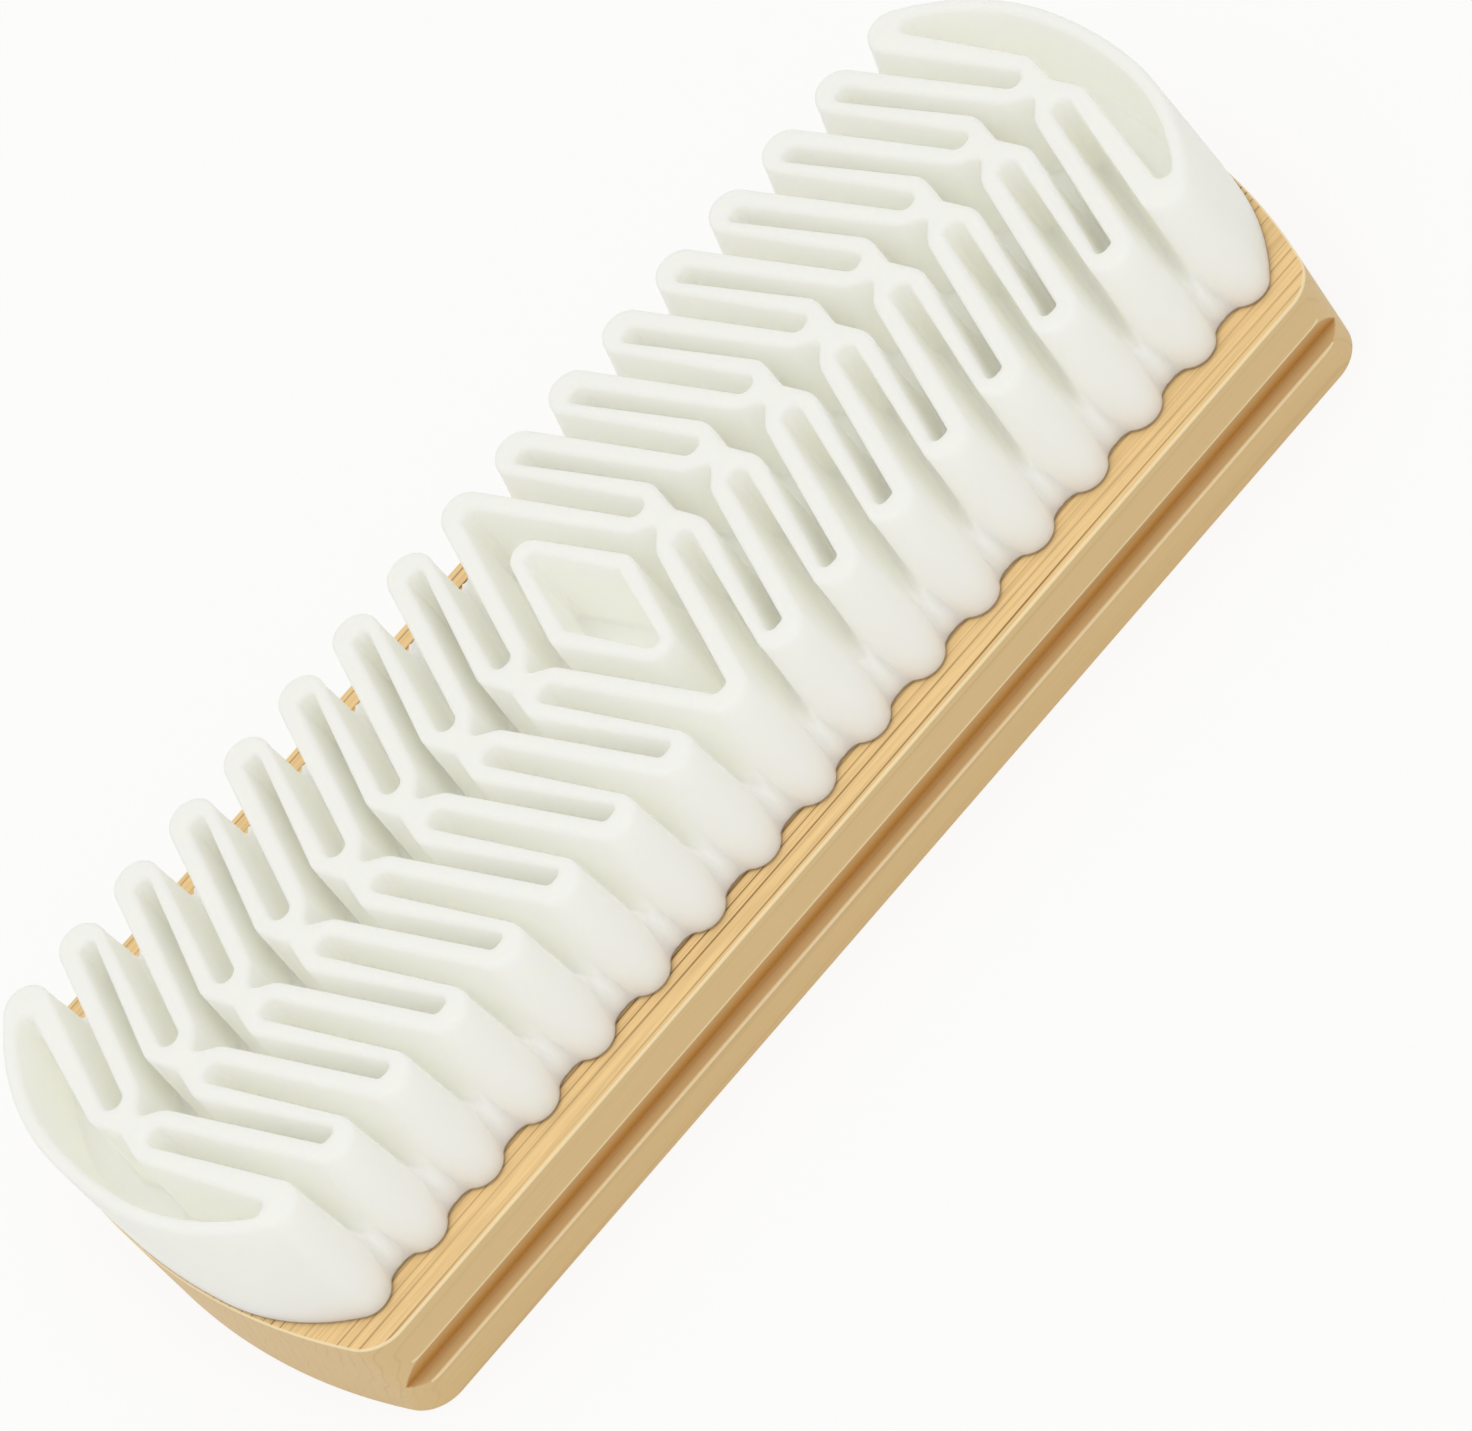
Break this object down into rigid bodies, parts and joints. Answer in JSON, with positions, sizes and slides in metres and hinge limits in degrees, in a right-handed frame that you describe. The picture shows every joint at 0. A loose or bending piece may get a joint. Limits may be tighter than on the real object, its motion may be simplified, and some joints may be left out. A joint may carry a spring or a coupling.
{
  "type": "suede brush",
  "caption": "Hand brush for suede: a flat wooden block with a finger groove along each side carries a one-piece white rubber pad of V-shaped fins.",
  "frame": {"origin": "centre of the wooden block's flat back, on which the brush rests", "axes": "+X along the brush, +Y across it, +Z from the block's back up through the fins"},
  "size_m": [0.15, 0.0602, 0.0277],
  "materials": {
    "wood": "fine-sanded pale straight-grained wood with a thin satin finish",
    "adhesive": "thin set adhesive, slightly glossy at its edge",
    "white_rubber": "matte moulded white rubber, slightly translucent"
  },
  "bodies": {
    "root": {"wooden_block": "wood", "adhesive_bed": "adhesive", "rubber_pad": "white_rubber"}
  },
  "joints": []
}
